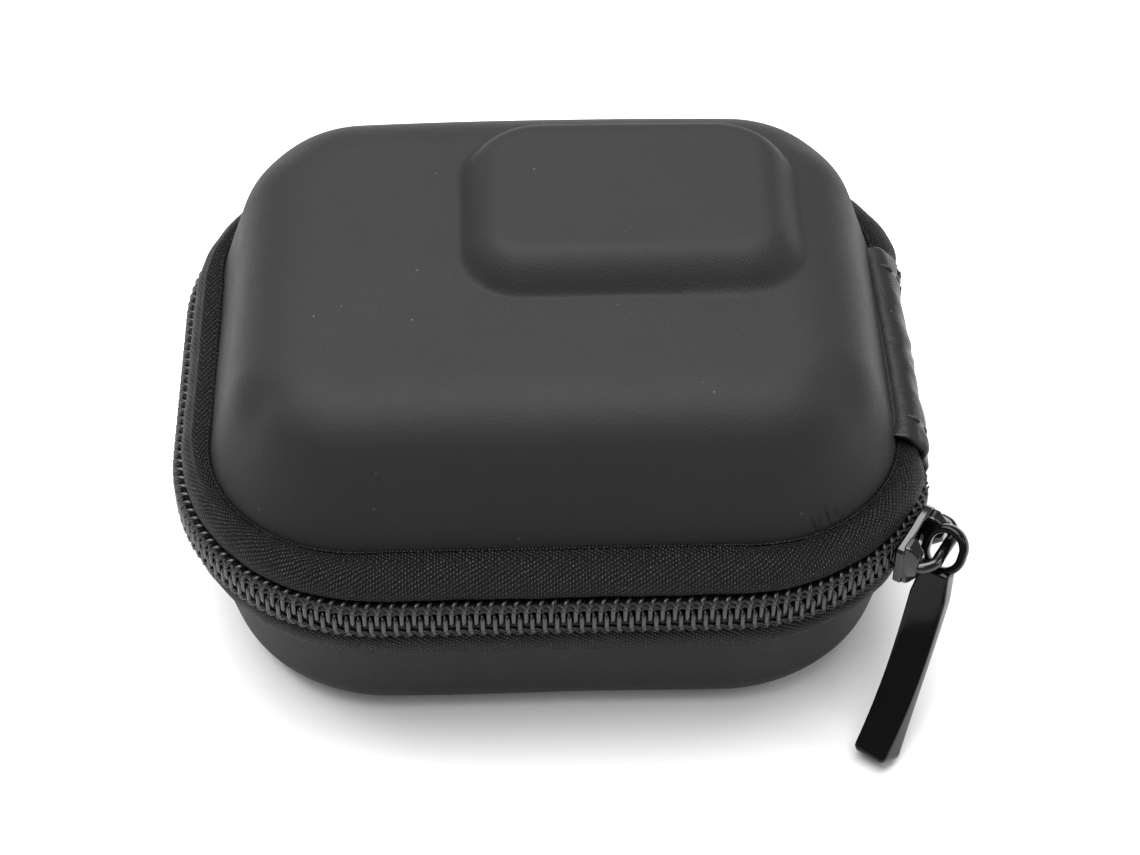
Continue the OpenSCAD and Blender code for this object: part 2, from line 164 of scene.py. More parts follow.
class Track:
    """The rounded rectangle that everything round the case follows, seen from above.

    It starts at the middle of the spine and runs to the front, the left, the back and home.
    """

    def __init__(self, step: float = 0.0) -> None:
        """Measures the track.

        Args:
            step: how far the corner centres lie outside the zip's own.
        """
        self.step = step
        arc = S.radius * math.pi / 2
        long, short = 2 * S.half_x, 2 * S.half_y
        self.lengths = np.array([S.half_y, arc, long, arc, short, arc, long, arc, S.half_y])
        self.ends = np.concatenate([[0.0], np.cumsum(self.lengths)])
        self.total = float(self.ends[-1])

    def place(self, s: Array) -> tuple[Array, Array]:
        """Corner centre and outward direction at each distance s along the zip's face.

        Args:
            s: distances in millimetres.

        Returns:
            Two arrays of (x, y) rows.
        """
        s = np.mod(np.asarray(s, float), self.total)
        x, y = S.half_x + self.step, S.half_y + self.step
        turns = [(x, -y), (-x, -y), (-x, y), (x, y)]
        corners = np.array([(x, 0)] + [c for turn in turns for c in (turn, turn)] + [(x, 0)], float)
        headings = np.repeat(np.arange(5) * 90.0, 2)
        part = np.clip(np.searchsorted(self.ends, s, side="right") - 1, 0, len(self.lengths) - 1)
        share = (s - self.ends[part]) / self.lengths[part]
        centre = corners[part] * (1 - share)[:, None] + corners[part + 1] * share[:, None]
        angle = np.radians(headings[part] * (1 - share) + headings[part + 1] * share)
        return centre, np.stack([np.cos(angle), -np.sin(angle)], 1)

    def point(self, s: Array, out: Array, z: Array) -> Array:
        """Points at a distance out from the corner centre and a height z over the surface below.

        Args:
            s: distances along the track.
            out: distances outwards, one for each s.
            z: heights in the case's frame.

        Returns:
            An array of (x, y, z) rows, in millimetres.
        """
        centre, away = self.place(s)
        flat = centre + away * np.asarray(out, float)[:, None]
        return np.column_stack([flat, np.broadcast_to(z, len(flat))])


TRACK = Track()
ZIP_START = S.half_y + S.radius * math.asin((S.spine_front - S.half_y) / S.radius)
ZIP_END = TRACK.total - S.half_y - S.radius * math.asin((S.spine_back - S.half_y) / S.radius)


@dataclass
class MeshData:
    """Vertices in millimetres, faces, and one (u, v) in millimetres for each vertex."""

    verts: Array
    faces: Faces
    uvs: Array

    @staticmethod
    def joined(parts: Sequence["MeshData"]) -> "MeshData":
        """One mesh from several.

        Args:
            parts: the meshes to join.

        Returns:
            The joined mesh.
        """
        verts, faces, uvs, base = [], [], [], 0
        for part in parts:
            verts.append(part.verts)
            uvs.append(part.uvs)
            faces.extend(tuple(i + base for i in f) for f in part.faces)
            base += len(part.verts)
        return MeshData(np.concatenate(verts), faces, np.concatenate(uvs))

    def build(self, name: str, material: Material) -> Piece:
        """Makes the object, smooth and with its faces turned outwards.

        Args:
            name: the object's name.
            material: its finish.

        Returns:
            The new object.
        """
        mesh = bpy.data.meshes.new(name)
        mesh.from_pydata((self.verts * MM).tolist(), [], self.faces)
        layer = mesh.uv_layers.new(name="UVMap")
        index = np.empty(len(mesh.loops), dtype=np.int32)
        mesh.loops.foreach_get("vertex_index", index)
        layer.data.foreach_set("uv", np.ascontiguousarray(self.uvs[index], dtype=np.float32).ravel())
        work = bmesh.new()
        work.from_mesh(mesh)
        bmesh.ops.recalc_face_normals(work, faces=work.faces)
        work.to_mesh(mesh)
        work.free()
        mesh.polygons.foreach_set("use_smooth", np.ones(len(mesh.polygons), dtype=bool))
        mesh.materials.append(material)
        mesh.update()
        obj = bpy.data.objects.new(name, mesh)
        bpy.context.scene.collection.objects.link(obj)
        return obj


def grid_faces(rows: int, columns: int, close_rows: bool, close_columns: bool) -> Faces:
    """Quads of a grid of vertices stored row by row.

    Args:
        rows: number of rows.
        columns: number of columns.
        close_rows: join the last row to the first.
        close_columns: join the last column to the first.

    Returns:
        The faces.
    """
    r = np.arange(rows if close_rows else rows - 1)
    c = np.arange(columns if close_columns else columns - 1)
    rr, cc = np.meshgrid(r, c, indexing="ij")
    r1, c1 = (rr + 1) % rows, (cc + 1) % columns
    quads = np.stack([rr * columns + cc, rr * columns + c1, r1 * columns + c1, r1 * columns + cc], -1)
    return [tuple(q) for q in quads.reshape(-1, 4).tolist()]


def ribbon(path: Array, thickness: float) -> Array:
    """Closed outline of a strip of some thickness along a path.

    Args:
        path: points of the middle line.
        thickness: the strip's thickness.

    Returns:
        The outline's points.
    """
    way = np.gradient(path, axis=0)
    side = np.column_stack([-way[:, 1], way[:, 0]])
    side /= np.linalg.norm(side, axis=1)[:, None]
    return np.concatenate([path + side * thickness / 2, (path - side * thickness / 2)[::-1]])


def bell(offset: Array, width: float, power: int = 2) -> Array:
    """1 where the offset is 0, and falling softly to nothing over about the width."""
    return np.exp(-((offset / width) ** power))


def lengths_along(path: Array) -> Array:
    """Length from a path's start to each of its points."""
    return np.concatenate([[0], np.cumsum(np.linalg.norm(np.diff(path, axis=0), axis=1))])


def smooth_path(points: Sequence[Sequence[float]], count: int) -> Array:
    """A smooth curve through points, evenly spaced.

    Args:
        points: the points, in any number of dimensions.
        count: number of samples.

    Returns:
        The sampled curve.
    """
    p = np.array(points, float)
    ext = np.concatenate([[2 * p[0] - p[1]], p, [2 * p[-1] - p[-2]]])
    fine = []
    for i in range(1, len(ext) - 2):
        t = np.linspace(0, 1, 16, endpoint=False)[:, None]
        a, b, c, d = ext[i - 1], ext[i], ext[i + 1], ext[i + 2]
        square, cube = (2 * a - 5 * b + 4 * c - d) * t**2, (3 * b - a - 3 * c + d) * t**3
        fine.append(0.5 * (2 * b + (c - a) * t + square + cube))
    fine = np.concatenate([*fine, [p[-1]]])
    run = lengths_along(fine)
    at = np.linspace(0, run[-1], count)
    return np.column_stack([np.interp(at, run, fine[:, k]) for k in range(fine.shape[1])])


def end_caps(rows: int, columns: int) -> Faces:
    """One face over each end of a grid whose columns are closed."""
    return [tuple(range(columns)), tuple(range((rows - 1) * columns, rows * columns))]


def sweep(
    track: Track,
    s: Array,
    outline: Array,
    closed_track: bool,
    shift: Optional[Callable[[Array, Array], Array]] = None,
) -> MeshData:
    """An outline of (out, height) points carried along a track.

    Args:
        track: the track.
        s: the stations along it.
        outline: a closed outline; its height is in the case's frame.
        closed_track: the track returns to its start.
        shift: gives each station and outline point its outward push.

    Returns:
        The mesh.
    """
    rows, columns = len(s), len(outline)
    out = np.broadcast_to(outline[:, 0], (rows, columns)).copy()
    if shift is not None:
        out += shift(s, outline)
    centre, away = track.place(s)
    flat = centre[:, None, :] + away[:, None, :] * out[:, :, None]
    z = np.broadcast_to(outline[:, 1], (rows, columns))
    verts = np.concatenate([flat, z[:, :, None]], 2).reshape(-1, 3)
    uvs = np.stack(np.meshgrid(s, lengths_along(outline), indexing="ij"), -1).reshape(-1, 2)
    faces = grid_faces(rows, columns, closed_track, True)
    if not closed_track:
        faces += end_caps(rows, columns)
    return MeshData(verts, faces, uvs)


def tube(path: Array, radius: float, reference: Array, sides: int = 8, flatten: float = 1.0) -> MeshData:
    """A round bar along a path in space.

    Args:
        path: (x, y, z) rows.
        radius: the bar's radius.
        reference: one direction, or one for each point, never along the path.
        sides: sides of the bar.
        flatten: width across the reference, as a share of the radius.

    Returns:
        The mesh.
    """
    way = np.gradient(path, axis=0)
    way /= np.linalg.norm(way, axis=1)[:, None]
    one = np.cross(way, reference)
    one /= np.linalg.norm(one, axis=1)[:, None]
    two = np.cross(way, one)
    a = np.linspace(0, 2 * math.pi, sides, endpoint=False)
    wide, tall = np.cos(a)[None, :, None] * radius, np.sin(a)[None, :, None] * (radius * flatten)
    verts = (path[:, None, :] + one[:, None, :] * wide + two[:, None, :] * tall).reshape(-1, 3)
    uvs = np.stack(np.meshgrid(lengths_along(path), a * radius, indexing="ij"), -1).reshape(-1, 2)
    return MeshData(verts, grid_faces(len(path), sides, False, True) + end_caps(len(path), sides), uvs)


def stations(
    start: float, end: float, spacing: float, dense: Optional[tuple[float, float, float]] = None
) -> Array:
    """Distances along a track, closer together where detail is needed.

    Args:
        start: first distance.
        end: last distance.
        spacing: usual distance between stations.
        dense: (middle, reach, spacing) of a finer stretch.

    Returns:
        The sorted distances.
    """
    found = [np.linspace(start, end, max(2, int((end - start) / spacing) + 1))]
    if dense:
        middle, reach, fine = dense
        found.append(np.arange(middle - reach, middle + reach, fine))
    return np.unique(np.round(np.concatenate(found), 4))


# ---------------------------------------------------------------- finishes


class Shader:
    """A material under construction, with short ways to add and join its nodes."""

    def __init__(self, name: str) -> None:
        """Starts a material with a bare surface shader.

        Args:
            name: the material's name.
        """
        self.material = bpy.data.materials.new(name)
        self.material.use_nodes = True
        self.tree = self.material.node_tree
        self.tree.nodes.clear()
        out = self.tree.nodes.new("ShaderNodeOutputMaterial")
        self.bsdf = self.tree.nodes.new("ShaderNodeBsdfPrincipled")
        self.tree.links.new(self.bsdf.outputs[0], out.inputs[0])

    def set(self, **values: object) -> None:
        """Sets plain values on the surface shader.

        Args:
            values: socket names with _ for spaces.
        """
        for key, value in values.items():
            self.bsdf.inputs[key.replace("_", " ")].default_value = value

    def node(
        self, kind: str, inputs: Optional[dict[object, object]] = None, **settings: object
    ) -> bpy.types.Node:
        """Adds a node.

        Args:
            kind: the node's type name.
            inputs: values or sockets for its inputs.
            settings: the node's own settings.

        Returns:
            The node.
        """
        made = self.tree.nodes.new(kind)
        for key, value in settings.items():
            setattr(made, key, value)
        for key, value in (inputs or {}).items():
            if isinstance(value, Socket):
                self.tree.links.new(value, made.inputs[key])
            else:
                made.inputs[key].default_value = value
        return made

    def math(self, operation: str, a: object, b: object = 0.0, c: object = 0.0) -> Socket:
        """Adds a sum, product or other number operation.

        Args:
            operation: its name.
            a: first value or socket.
            b: second value or socket.
            c: third value or socket.

        Returns:
            The result's socket.
        """
        return self.node("ShaderNodeMath", {0: a, 1: b, 2: c}, operation=operation).outputs[0]

    def affine(self, value: object, factor: float, offset: float) -> Socket:
        """A value times a factor, plus an offset."""
        return self.math("MULTIPLY_ADD", value, factor, offset)

    def wave(self, value: object, period: float) -> Socket:
        """A sine wave of some period along a value."""
        return self.math("SINE", self.math("MULTIPLY", value, 2 * math.pi / period))

    def weave(self, period_mm: float) -> Socket:
        """Two sets of threads that cross, over the object's own space.

        Args:
            period_mm: distance from thread to thread.

        Returns:
            A value from -1 to 1.
        """
        x, y, z = self.node("ShaderNodeSeparateXYZ", {0: self.objects_place()}).outputs
        warp = self.wave(self.math("ADD", x, z), period_mm * MM)
        weft = self.wave(self.math("ADD", y, z), period_mm * MM)
        return self.math("MULTIPLY", warp, weft)

    def objects_place(self) -> Socket:
        """The place in the object's own space, in metres."""
        return self.node("ShaderNodeTexCoord").outputs["Object"]

    def noise(self, size_mm: float, detail: float, where: Optional[Socket] = None) -> Socket:
        """Soft noise with features of about size_mm.

        Args:
            size_mm: feature size in millimetres.
            detail: octaves.
            where: coordinates; the object's own if left out.

        Returns:
            The value socket.
        """
        inputs = {"Vector": where or self.objects_place(), "Scale": 1000.0 / size_mm, "Detail": detail}
        return self.node("ShaderNodeTexNoise", inputs).outputs[0]

    def cells(self, scale: float) -> Socket:
        """Distance to the middle of the nearest cell, with scale cells to a metre."""
        inputs = {"Vector": self.objects_place(), "Scale": scale}
        return self.node("ShaderNodeTexVoronoi", inputs).outputs["Distance"]

    def bump(self, height: Socket, depth_mm: float, under: Optional[Socket] = None) -> Socket:
        """Turns a 0 to 1 height into a change of the surface's direction.

        Args:
            height: the height.
            depth_mm: how deep it is.
            under: the direction from an earlier bump.

        Returns:
            The direction socket.
        """
        inputs: dict[object, object] = {"Strength": 1.0, "Distance": depth_mm * MM, "Height": height}
        if under is not None:
            inputs["Normal"] = under
        return self.node("ShaderNodeBump", inputs).outputs[0]

    def link(self, value: Socket, socket: str) -> None:
        """Joins a value to the surface shader.

        Args:
            value: the value.
            socket: the shader's input.
        """
        self.tree.links.new(value, self.bsdf.inputs[socket])

    def colour(self, grey: Socket, blue: float = 1.0) -> None:
        """Joins a grey to the surface's colour.

        Args:
            grey: the grey.
            blue: strength of its blue.
        """
        tint = grey if blue == 1.0 else self.math("MULTIPLY", grey, blue)
        mixed = self.node("ShaderNodeCombineColor", {0: grey, 1: grey, 2: tint})
        self.link(mixed.outputs[0], "Base Color")

    def uv_mm(self) -> tuple[Socket, Socket]:
        """The millimetre coordinates along and across a strip."""
        split = self.node("ShaderNodeSeparateXYZ", {0: self.node("ShaderNodeTexCoord").outputs["UV"]})
        return split.outputs[0], split.outputs[1]


@dataclass(frozen=True)
class CoatedCloth:
    """Fine cloth under a matte coating, as on the case's outer skin and spine."""

    name: str
    grey: float = 0.012
    roughness: float = 0.56
    grain_mm: float = 0.3
    grain_depth: float = 0.045
    crease_depth: float = 0.0
    weave_mm: float = 0.46
    weave_depth: float = 0.018
    shine: float = 0.095

    def build(self) -> Material:
        """Returns: the material."""
        sh = Shader(self.name)
        grain = sh.noise(self.grain_mm, 1.0)
        fine = sh.noise(self.grain_mm * 0.45, 2.0)
        patches = sh.noise(14.0, 3.0)
        tone = sh.math("MULTIPLY", sh.affine(patches, 0.16, 0.92), sh.affine(fine, 0.22, 0.89))
        speck = sh.math("MULTIPLY", sh.math("LESS_THAN", sh.cells(260.0), 0.03), 0.05)
        sh.colour(sh.math("ADD", sh.math("MULTIPLY", tone, self.grey), speck), 1.01)
        sh.link(sh.affine(sh.noise(5.0, 3.0), 0.1, self.roughness - 0.05), "Roughness")
        weave = sh.math("MULTIPLY", sh.weave(self.weave_mm), sh.noise(2.0, 2.0))
        direction = sh.bump(weave, self.weave_depth, sh.bump(patches, 0.08))
        if self.crease_depth:
            direction = sh.bump(sh.noise(2.2, 3.0), self.crease_depth, direction)
        direction = sh.bump(grain, self.grain_depth, direction)
        sh.link(sh.bump(fine, self.grain_depth * 0.5, direction), "Normal")
        sh.set(Sheen_Weight=0.012, Sheen_Roughness=0.5, Specular_IOR_Level=self.shine)
        return sh.material


@dataclass(frozen=True)
class HerringboneTape:
    """Polyester zip tape: narrow diagonal ribs that turn back at each band's edge."""

    name: str
    grey: float = 0.0085
    band_mm: float = 5.2
    rib_mm: float = 0.56
    thread_mm: float = 0.36

    def build(self) -> Material:
        """Returns: the material."""
        sh = Shader(self.name)
        along, across = sh.uv_mm()
        wobble = sh.affine(sh.noise(1.6, 2.0), 0.5, -0.25)
        zigzag = sh.math("PINGPONG", sh.math("ADD", across, 0.55 * self.band_mm), self.band_mm)
        slant = sh.math("ADD", sh.math("ADD", sh.math("MULTIPLY", along, 0.62), zigzag), wobble)
        rib = sh.affine(sh.wave(slant, self.rib_mm), 0.5, 0.5)
        pick = sh.math("MULTIPLY", rib, sh.affine(sh.wave(along, self.thread_mm), 0.42, 0.58))
        fuzz = sh.noise(0.16, 3.0)
        height = sh.math("ADD", sh.math("MULTIPLY", pick, 0.8), sh.math("MULTIPLY", fuzz, 0.5))
        # painted light: the base colour gets a painted highlight on the raised threads and painted shade,
        # near black, in the gaps between them
        thread_painted_light = sh.math("MAXIMUM", sh.affine(sh.math("POWER", height, 3.0), 4.4, -0.25), 0.0)
        patches = sh.affine(sh.noise(2.5, 3.0), 0.7, 0.65)
        grey = sh.math("MULTIPLY", sh.math("MULTIPLY", thread_painted_light, self.grey), patches)
        # painted glints: bright flecks on the raised threads, added to the base colour
        painted_glints = sh.math("MULTIPLY", sh.math("GREATER_THAN", fuzz, 0.6), pick)
        sh.colour(sh.math("ADD", grey, sh.math("MULTIPLY", painted_glints, 0.05)))
        sh.link(sh.bump(height, 0.34), "Normal")
        sh.link(sh.affine(fuzz, 0.3, 0.36), "Roughness")
        sh.set(Specular_IOR_Level=0.1)
        return sh.material


@dataclass(frozen=True)
class Nylon:
    """Semi-gloss moulded or drawn nylon, as on the coil."""

    name: str
    grey: float = 0.006
    roughness: float = 0.3

    def build(self) -> Material:
        """Returns: the material."""
        sh = Shader(self.name)
        scuff = sh.noise(0.5, 4.0)
        sh.colour(sh.math("MULTIPLY", sh.affine(scuff, 0.8, 0.6), self.grey))
        sh.link(sh.affine(scuff, 0.22, self.roughness - 0.1), "Roughness")
        sh.link(sh.bump(sh.noise(0.3, 2.0), 0.015), "Normal")
        sh.set(Specular_IOR_Level=0.5)
        return sh.material


@dataclass(frozen=True)
class Thread:
    """Twisted sewing thread or cord."""

    name: str
    grey: float = 0.007
    twist_mm: float = 0.35

    def build(self) -> Material:
        """Returns: the material."""
        sh = Shader(self.name)
        along, around = sh.uv_mm()
        slant = sh.math("ADD", along, sh.math("MULTIPLY", around, 0.8))
        twist = sh.affine(sh.wave(slant, self.twist_mm), 0.5, 0.5)
        sh.colour(sh.math("MULTIPLY", sh.affine(twist, 0.8, 0.6), self.grey))
        sh.link(sh.bump(twist, 0.05, sh.bump(sh.noise(0.12, 2.0), 0.03)), "Normal")
        sh.set(Roughness=0.5, Sheen_Weight=0.05, Specular_IOR_Level=0.3)
        return sh.material


@dataclass(frozen=True)
class Enamel:
    """Gloss enamel over die-cast metal, with faint ripple and fine scratches."""

    name: str
    grey: float = 0.0015
    roughness: float = 0.11
    shine: float = 0.22

    def build(self) -> Material:
        """Returns: the material."""
        sh = Shader(self.name)
        handling = sh.noise(3.0, 4.0)
        drawn = {"Vector": sh.objects_place(), "Scale": (1.0, 1.0, 0.08), "Rotation": (0.3, 0.5, 0.0)}
        scratch = sh.noise(0.22, 2.0, sh.node("ShaderNodeMapping", drawn).outputs[0])
        marks = sh.math("MULTIPLY", sh.math("GREATER_THAN", scratch, 0.71), 0.14)
        sh.link(sh.math("ADD", sh.affine(handling, 0.12, self.roughness - 0.06), marks), "Roughness")
        sh.colour(sh.math("MULTIPLY", sh.affine(handling, 0.5, 0.75), self.grey))
        sh.link(sh.bump(sh.noise(2.4, 1.0), 0.008, sh.bump(scratch, 0.002)), "Normal")
        sh.set(Specular_IOR_Level=self.shine)
        return sh.material


@dataclass(frozen=True)
class KnitLining:
    """Brushed knitted lining."""

    name: str
    grey: float = 0.016
    rib_mm: float = 0.7
    depth: float = 0.06

    def build(self) -> Material:
        """Returns: the material."""
        sh = Shader(self.name)
        knit = sh.affine(sh.weave(self.rib_mm), 0.5, 0.5)
        fuzz = sh.noise(0.25, 4.0)
        height = sh.math("ADD", sh.math("MULTIPLY", knit, 0.6), sh.math("MULTIPLY", fuzz, 0.6))
        sh.colour(sh.math("MULTIPLY", sh.affine(height, 0.7, 0.55), self.grey), 1.03)
        sh.link(sh.bump(height, self.depth), "Normal")
        sh.set(Roughness=0.85, Sheen_Weight=0.08, Sheen_Roughness=0.5, Specular_IOR_Level=0.2)
        return sh.material


@dataclass(frozen=True)
class FoamFace:
    """Closed-cell foam: matte, with tiny pores."""

    name: str
    grey: float = 0.012

    def build(self) -> Material:
        """Returns: the material."""
        sh = Shader(self.name)
        cells = sh.cells(3200.0)
        sh.colour(sh.math("MULTIPLY", sh.affine(cells, 0.8, 0.6), self.grey))
        sh.link(sh.bump(cells, 0.08), "Normal")
        sh.set(Roughness=0.9, Specular_IOR_Level=0.2)
        return sh.material


def built(kind: type, *values: object, **more: object) -> Material:
    """A field that holds a finish, built when the palette is made.

    Args:
        kind: the finish's class.
        values: its name and sizes.
        more: its sizes by name.

    Returns:
        The dataclass field.
    """
    return field(default_factory=lambda: kind(*values, **more).build())


@dataclass
class Palette:
    """Every finish, built once."""

    skin: Material = built(CoatedCloth, "coated_skin")
    spine: Material = built(CoatedCloth, "spine_cloth", 0.008, 0.4, 0.4, 0.02, 0.16, shine=0.15)
    tape: Material = built(HerringboneTape, "zip_tape")
    binding: Material = built(HerringboneTape, "rim_binding", 0.01, 1.2, 0.4)
    coil: Material = built(Nylon, "zip_coil")
    stop: Material = built(Nylon, "end_stop", 0.005, 0.28)
    thread: Material = built(Thread, "thread")
    cord: Material = built(Thread, "coil_cord", 0.004, 0.6)
    slider: Material = built(Enamel, "slider_enamel", 0.002, 0.12, 0.45)
    pull: Material = built(Enamel, "pull_enamel", 0.001, 0.1, 0.16)
    lining: Material = built(KnitLining, "lining")
    foam: Material = built(FoamFace, "foam")


def settle(obj: Piece, body: str, slot: str, *nodes: str) -> Piece:
    """Puts a finished piece on its body in place of its CAD nodes.

    Args:
        obj: the piece.
        body: the body it moves with.
        slot: not used.
        nodes: the CAD nodes it stands for.

    Returns:
        The piece.
    """
    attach(obj, body)
    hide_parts(*nodes)
    LOG.info("%s: %d faces on %s", obj.name, len(obj.data.polygons), body)
    return obj


# ---------------------------------------------------------------- shells


@dataclass(frozen=True)
class Boss:
    """The raised rounded rectangle on the lid, with a soft foot and a rounded upper edge."""

    x: float = 9.45
    y: float = 6.3
    half_x: float = 20.0
    half_y: float = 14.5
    corner: float = 7.5
    height: float = 4.0
    slope: float = 5.3
    back_slope: float = 4.6
    back_corner: float = 3.2

    def rise(self, x: Array, y: Array, inset: float) -> Array:
        """Share of the boss's height at each place.

        Args:
            x: places along X.
            y: places along Y.
            inset: depth inside the outer face.

        Returns:
            Shares from 0 to 1.
        """
        toward_back = np.clip((y - self.y) / self.half_y, 0, 1)
        corner = self.corner - inset * 0.8 + self.back_corner * toward_back**2
        qx = np.abs(x - self.x) - (self.half_x - inset - corner)
        qy = np.abs(y - self.y) - (self.half_y - inset - corner)
        beyond = np.hypot(np.maximum(qx, 0), np.maximum(qy, 0))
        outside = beyond + np.minimum(np.maximum(qx, qy), 0) - corner
        slope = self.slope + (self.back_slope - self.slope) * toward_back**2
        t = np.clip(-outside / slope, 0, 1)
        t = np.clip(t * t / (t + 0.1) * 1.1, 0, 1)
        return 1 - (1 - t) ** 2.4


BOSS = Boss()


@dataclass
class ShellHalf:
    """One half's skin, foam and lining."""

    wall: Wall
    palette: Palette
    prefix: str
    fold_at: float = 40.5
    crown: float = 0.5
    folds: tuple[tuple[float, float, float, float, float], ...] = (
        (-3.2, 0.2, 0.55, 7.9, 0.8),
        (-1.5, 0.26, 0.3, 8.3, 1.3),
        (0.1, 0.18, -0.15, 7.6, 0.8),
        (1.2, 0.24, 0.6, 7.8, 1.2),
        (3.4, 0.14, 0.2, 7.5, 0.7),
    )
    dents: tuple[tuple[float, float, float, float], ...] = (
        (-32.8, -20.8, 0.6, 2.9),
        (32.2, -21.3, 0.6, 3.1),
        (-31.0, 20.5, 0.3, 3.2),
        (31.5, 20.5, 0.3, 3.2),
    )

    def sculpt(self, verts: Array, away: Array, s: Array, inset: float) -> Array:
        """Adds what a moulded skin shows: soft dents at the shoulders, small folds and a faint wave.

        Args:
            verts: (rings, stations, 3) vertices.
            away: outward directions at the stations.
            s: the stations.
            inset: depth inside the outer face.

        Returns:
            The changed vertices.
        """
        x, y, z = verts[..., 0], verts[..., 1], verts[..., 2]
        sign = self.wall.side.value
        push = 0.06 * np.sin(x * 0.21 + 1.0) * np.sin(y * 0.27 + z * 0.2)
        if self.wall.side is Side.LID:
            for cx, cy, deep, wide in self.dents:
                push -= deep * bell(np.hypot(x - cx, y - cy), wide)
            if inset == 0:
                height = z - S.zip_z
                for offset, deep, slant, middle, reach in self.folds:
                    lean = (height - middle) * slant
                    ridge = bell(s[None, :] - self.fold_at - offset - lean, 0.24)
                    push -= deep * ridge * bell(height - middle, reach)
            back = np.clip(y / 30.0, 0, 1) ** 2 * np.clip((z - S.zip_z - 8.0) / 12.0, 0, 1)
            verts = verts.copy()
            verts[..., 2] += self.crown * back * (1 - 2.2 * (x / 34.0) ** 2)
        up_ring = np.gradient(verts, axis=0)
        along = np.roll(verts, -1, axis=1) - np.roll(verts, 1, axis=1)
        normal = np.cross(along, up_ring)
        normal /= np.maximum(np.linalg.norm(normal, axis=2, keepdims=True), 1e-9)
        outward = np.sum(normal[..., :2] * away[None, :, :], axis=2) + sign * normal[..., 2]
        normal *= np.sign(outward)[..., None]
        near_top = np.clip((sign * (z - S.zip_z) - self.wall.top + 1.2) / 1.2, 0, 1)
        push = np.where(push > 0, push * (1 - near_top), push)
        rim = np.clip((sign * (z - S.zip_z) - self.wall.rim_z) / 1.5, 0, 1)
        return verts + normal * (push * rim)[..., None]

    def surface(self, inset: float, fine: bool) -> tuple[Array, Array]:
        """Rings of vertices from the rim to the last ring round the middle.

        Args:
            inset: depth inside the outer face.
            fine: use close rings.

        Returns:
            Vertices as (rings, stations, 3), and (u, v) as (rings, stations, 2).
        """
        track = Track(self.wall.step)
        dense = (self.fold_at, 3.2, 0.11) if fine and self.wall.side is Side.LID else None
        s = stations(0, track.total, 0.62 if fine else 1.6, dense)[:-1]
        counts = (26, 30) if fine else (8, 12)
        plain = self.wall.section(inset, *counts, knuckle=0.0)
        swollen = self.wall.section(inset, *counts, knuckle=self.wall.knuckle)
        centre, away = track.place(s)
        shares = np.linspace(1, 0.004, 72 if fine else 26)[1:]
        sign = self.wall.side.value
        front = (0.5 - 0.5 * away[:, 1:]) ** 1.5
        rings = []
        for row_a, row_b in zip(plain, swollen):
            row = row_a + (row_b - row_a) * front
            rings.append(np.column_stack([centre + away * row[:, :1], S.zip_z + sign * row[:, 1]]))
        last = rings[-1]
        rings += [np.column_stack([last[:, :2] * k, last[:, 2]]) for k in shares]
        verts = np.array(rings)
        if self.wall.side is Side.LID:
            flat = S.zip_z + self.wall.top - inset
            top = flat + BOSS.height
            rise = BOSS.rise(verts[..., 0], verts[..., 1], inset)
            above = verts[..., 2] > flat - 4
            verts[..., 2] = np.where(above, verts[..., 2] + (top - verts[..., 2]) * rise, verts[..., 2])
        verts = self.sculpt(verts, away, s, inset)
        run = np.arange(len(verts), dtype=float)
        uvs = np.stack(np.meshgrid(run, s, indexing="ij")[::-1], -1)
        return verts, uvs

    def layer(self, name: str, outer: float, inner: float, material: Material) -> Piece:
        """One closed layer between two depths in the wall.

        Args:
            name: the piece's name.
            outer: depth of its outer face.
            inner: depth of its inner face.
            material: its finish.

        Returns:
            The object.
        """
        parts = []
        for inset in (outer, inner):
            verts, uvs = self.surface(inset, fine=outer == 0)
            rings, count = verts.shape[:2]
            faces = grid_faces(rings, count, False, True)
            faces.append(tuple(range((rings - 1) * count, rings * count)))
            parts.append(MeshData(verts.reshape(-1, 3), faces, uvs.reshape(-1, 2)))
        joined = MeshData.joined(parts)
        past = rings * count
        joined.faces.extend((i, (i + 1) % count, past + (i + 1) % count, past + i) for i in range(count))
        return joined.build(name, material)

    def build(self) -> None:
        """Makes the three layers."""
        body = self.prefix
        foam_in = S.skin + GAP + S.foam
        lining_out = foam_in + GAP
        skin = self.layer(f"{body}_cloth_skin", 0.0, S.skin, self.palette.skin)
        settle(skin, body, "coated_skin", f"{body}_skin")
        foam = self.layer(f"{body}_foam", S.skin + GAP, foam_in, self.palette.foam)
        settle(foam, body, "moulded_foam", f"{body}_shell")
        lining = self.layer(f"{body}_knit_lining", lining_out, lining_out + S.lining, self.palette.lining)
        settle(lining, body, "lining", f"{body}_lining")


